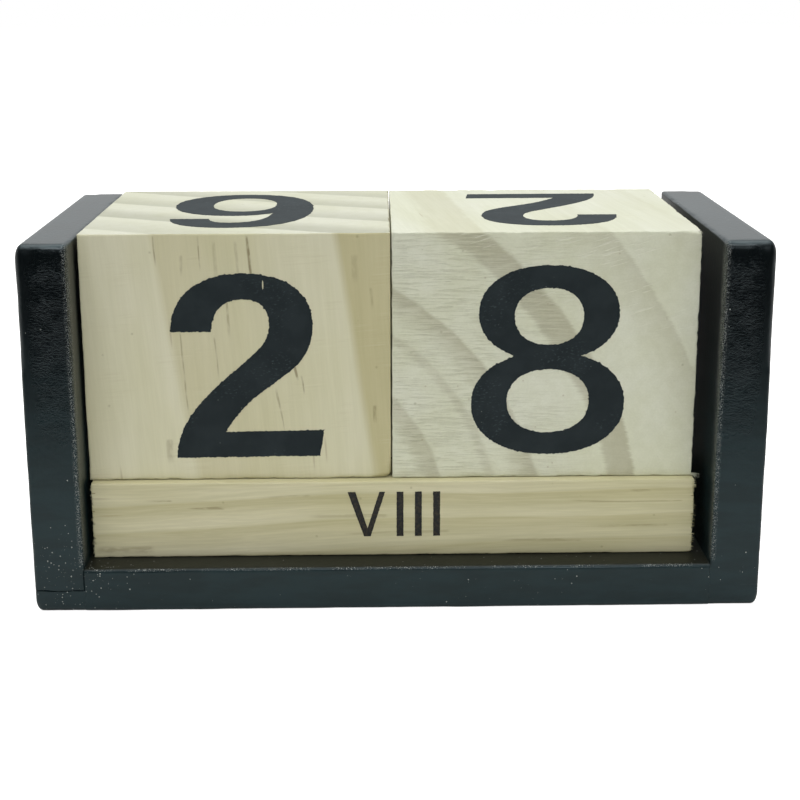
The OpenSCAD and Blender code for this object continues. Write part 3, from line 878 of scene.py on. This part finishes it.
def painted_numerals(name, node, body, material, lo, hi, rough, seed, cracks=()):
    """Ink films with ragged outlines on all sides of a block. cracks are slits in the front's ink where the
    wood has opened: the middle in X and Z, half the width and half the height, in mm."""
    points, faces = [], []
    thickness = 0.12
    pitch = 0.22
    for axis, sign, loops in flat_outlines(node, lo, hi):
        loops = [ragged(loop, axis, pitch, rough, seed + axis + 2 * sign) for loop in loops]
        largest = max(loops, key=lambda loop: abs(area(loop, axis)))
        way = math.copysign(1, area(largest, axis))
        outers = [loop for loop in loops if area(loop, axis) * way > 0]
        holes = [loop for loop in loops if area(loop, axis) * way <= 0]
        at_front = (axis, sign) == (1, -1)
        for x, z, half_width, half_height in cracks if at_front else ():
            holes.append(np.array([
                [x + half_width * math.sin(turn), lo[1], z + half_height * math.cos(turn)]
                for turn in np.linspace(0, math.tau, 12, endpoint=False)]))
        for outer in outers:
            rings = [outer] + [hole for hole in holes if contains(outer, hole[0], axis)]
            first = len(points)
            film_points, film_faces = ink_film(rings, axis, sign, thickness)
            points += [tuple(p) for p in film_points]
            faces += [[first + i for i in face] for face in film_faces]
    piece = make_piece(name, points, faces, material, body, node)
    piece.data.polygons.foreach_set("use_smooth", [False] * len(piece.data.polygons))
    mend(piece, turn_outwards)


# ---- The object ----

# Growth rings in mm: outer edge from the pith, width of the late wood and of the change into it, and how dark
TENS_RINGS = [
    (573.5, 9, 6, 0.7), (587.3, 9, 6, 0.8), (601.3, 10, 7, 0.8), (616.3, 9.5, 5, 1.0), (629.1, 11, 7, 0.55),
    (643, 9, 6, 0.8)]
UNITS_RINGS = [
    (41.8, 5, 2.5, 0.7), (52.3, 2.2, 0.9, 0.45), (60.7, 6, 4.4, 0.8), (80, 6, 1, 0.9), (97.5, 9, 8, 0.5),
    (113, 8, 7, 0.4)]

# Resin streaks, and painted shade in the notches at the front bar's torn ends, in mm from the piece's middle:
# place beside the grain, lean, end, start, width, and how dark
TENS_DASHES = [
    (-14.2, -0.075, 26, 19, 0.22, 0.5), (-11.2, -0.06, 6, -13, 0.3, 0.4), (-10.6, 0, 22, 17, 0.3, 0.25),
    (-5.8, -0.06, 26, 18, 0.34, 0.5), (-4.5, -0.06, 5, -5, 0.3, 0.4), (-3.1, -0.05, 25, 16, 0.5, 0.2),
    (2.0, -0.07, 25, 15, 0.55, 0.2), (4.3, -0.07, 26, 12, 0.28, 0.7), (-1.4, -0.04, 13, 4, 0.3, 0.35),
    (6.9, -0.17, -6, -17, 0.24, 0.4), (11.3, -0.2, -1.5, -5, 0.3, 0.6), (12.4, -0.17, -3.5, -8, 0.28, 0.6),
    (-14.5, 0, -17, -23, 0.9, 0.3), (28.1, 0, -10, -14.5, 0.5, 0.4), (24.5, 0, 22, 15, 0.8, 0.2),
    (28.4, -0.05, 15, 10, 0.5, 0.25)]
BAR_DASHES = {
    "front": [
        (-6.1, 0.006, -50, -64, 1.1, 0.32), (4.1, 0, -46, -52.5, 0.32, 0.4), (2.8, 0.01, -35, -45, 0.3, 0.4),
        (5.2, 0.01, -17, -29, 0.4, 0.2), (0.6, -0.01, -1, -19, 0.5, 0.22), (-3.2, 0.01, 12, -12, 0.5, 0.2),
        (-5.4, 0.004, 40, 22, 0.5, 0.25), (3.3, 0.004, 61, 36, 0.3, 0.3), (-2.2, -0.004, 58, 41, 0.35, 0.3),
        # From (4.9, 0, 63.4, ...) on, the short dark dashes at both ends are painted shade in the notches the
        # saw tore
        (5.8, 0, 54, 49, 0.25, 0.4), (4.9, 0, 63.4, 62.1, 0.2, 0.9), (3.1, 0, 63.4, 62.5, 0.16, 0.8),
        (0.6, 0, 63.4, 62.2, 0.2, 0.85), (-2.1, 0, 63.4, 62.4, 0.16, 0.8), (-4.2, 0, 63.4, 62, 0.18, 0.85),
        (-6, 0, 63.4, 62.4, 0.16, 0.8), (6.1, 0, -62, -63.4, 0.16, 0.8), (1.9, 0, -62.3, -63.4, 0.16, 0.7)],
    "middle": [(2.1, 0.01, -20, -44, 0.5, 0.3), (-4.0, 0, 33, 20, 0.3, 0.4)],
    "rear": [(-1.5, 0.01, 10, -22, 0.5, 0.3), (4.4, 0, 51, 44, 0.3, 0.4)]}


def tray():
    """The black tray: two side boards, the base board, and the brads that hold them"""
    board_paint = black_paint("black_acrylic_brushed_upright", (0.6, 0.6, 40))
    base_paint = black_paint("black_acrylic_brushed_lengthwise", (40, 0.6, 0.6))
    for node, side, seed in (("left_side_panel", -1, 11), ("right_side_panel", 1, 12)):
        panel(node + "_painted", node, side, board_paint, seed)
    base(base_paint)
    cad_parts["panel_brads"].material_slots[0].material = brad_steel()


def tens_block():
    """The left-hand block, its grain upright: its front is cut along the rings"""
    (left, front, bottom), (right, back, top) = box_mm("tens_block")
    centre = middle("tens_block")
    wood = pine(
        "planed_pine_upright", centre, fibre=(-0.073, -0.029, 1), outward=(-0.371, -0.928, 0), pith=(-600, 0),
        rings=TENS_RINGS, side=("dbd8ba", "c4bd92"), cut_end=("c7c8b5", "a8a996"), wander=1.2, taper=0.004,
        grain=0.8, dashes=TENS_DASHES, front=front - centre[1] + 1.75)
    wooden_block(
        "tens_block_pine", "tens_block", "tens", wood, 0.26, wear=0.14, foot_wear=0.55, seed=21,
        corners=[
            ((right, front, bottom), 4.0, 1.2),
            ((left + 12.3, front, bottom), 7, 0.3),
            ((left + 37.3, front, bottom), 6, 0.35),
            ((right - 9.7, front, bottom), 4, 0.3),
            ((left, front, bottom + 4.2), 5, 0.3)],
        edges=[
            ((left + 0.1, front + 0.2, bottom + 0.2), (right - 0.3, front + 0.2, bottom + 0.2),
             (0, -0.7, -1), 110, 0.4),
            ((left + 0.2, front + 0.2, bottom + 0.2), (left + 0.2, front + 0.2, top - 0.3),
             (-1, -0.3, 0), 30, 0.3),
            ((right - 0.1, front + 0.2, top - 0.1), (right - 0.1, back - 0.2, top - 0.1),
             (1, 0, -0.2), 200, 0.24),
            ((right - 0.1, back - 0.3, top - 4.8), (right - 0.1, back - 0.3, top - 0.1),
             (1, 0, 0), 150, 0.24)])


def units_block():
    """The right-hand block, its grain from front to back: its front is end grain, straight from the saw"""
    (_, front, bottom), (right, back, top) = box_mm("units_block")
    wood = pine(
        "planed_pine_end_on", middle("units_block"), fibre=(-0.15, 1, 0.03), outward=(0.86, 0, 0.5),
        pith=(-74.6, 0), rings=UNITS_RINGS, side=("cccebb", "c1c1ab"), cut_end=("dddfc8", "bbb9a0"),
        wander=3.6, sawn=True)
    wooden_block(
        "units_block_pine", "units_block", "units", wood, 0.26, wear=0.45, seed=22,
        corners=[((right, front, top), 2.4, 0.8)],
        edges=[
            ((right - 0.15, front + 0.2, bottom + 1.2), (right - 0.15, front + 0.2, top - 0.3),
             (1, -0.2, 0), 90, 0.45),
            ((right - 0.15, front + 0.4, top - 0.3), (right - 0.15, back - 0.1, top - 0.3),
             (1, 0, -0.2), 80, 0.45),
            ((right - 0.45, front + 0.2, bottom + 0.6), (right - 0.25, front + 1.0, bottom + 0.1),
             (1, -0.3, -0.5), 30, 2.6)])


def month_bars():
    """Three bars of square stick, their ends torn by the saw, with burnt marks all round"""
    scorch = burnt_marks()
    for number, row in enumerate(("front", "middle", "rear")):
        node = row + "_month_bar"
        lo, hi = box_mm(node)
        (left, front, bottom), (right, _, top) = lo, hi
        centre = middle(node)
        wood = pine(
            "planed_pine_" + row, centre, fibre=(1, 0.012 - 0.01 * number, 0.02),
            outward=(0, 0.25 + 0.3 * number, 1), pith=(-38 - 9 * number, 6),
            rings=[(30 + 5.6 * ring, 4.2, 3, 0.5 + 0.12 * (ring % 3)) for ring in range(-1, 6)],
            side=("d2cda9", "bfb88c"), cut_end=("c9c6ab", "b3af93"), grain=2.2, planer=0.0,
            dashes=BAR_DASHES[row], dash_axes="ZX", front=front - centre[1] + 0.85)
        wooden_block(
            row + "_month_bar_pine", node, row + "_bar", wood, 0.28, wear=0.16, seed=30 + number,
            torn=0.5,
            edges=[
                ((right - 0.1, front + 0.1, bottom + 0.5), (right - 0.1, front + 0.1, top),
                 (1, -0.2, 0), 40, 0.75),
                ((left + 0.1, front + 0.1, bottom + 0.5), (left + 0.1, front + 0.1, top),
                 (-1, -0.2, 0), 20, 0.45)])
        painted_numerals(
            row + "_month_numerals_burnt", row + "_month_numerals", row + "_bar", scorch,
            lo, hi, rough=0.05, seed=50 + number)


def day_numerals():
    """The big digits on both blocks; the ink of the tens block's front has one crack"""
    ink = digit_ink()
    lo, hi = box_mm("tens_block")
    crack = (lo[0] + 37.1, hi[2] - 10.7, 0.14, 0.95)
    painted_numerals(
        "tens_numerals_ink", "tens_numerals", "tens", ink, lo, hi, rough=0.17, seed=61,
        cracks=[crack])
    lo, hi = box_mm("units_block")
    painted_numerals(
        "units_numerals_ink", "units_numerals", "units", ink, lo, hi, rough=0.17, seed=62)


place_camera()
white_surroundings(fill=0.3, gloss_front=0.04, gloss_back=1.0)
pale_floor()
soft_light("overhead_softbox", at=(0, 0, 0.9), towards=(0, 0, 0.05), size=(0.9, 0.9), power=8.6)
soft_light("front_softbox", at=(0.1, -1.1, 0.75), towards=(0, 0, 0.04), size=(0.45, 0.3), power=3.2)
tray()
tens_block()
units_block()
month_bars()
day_numerals()

scene.view_settings.view_transform = "Standard"
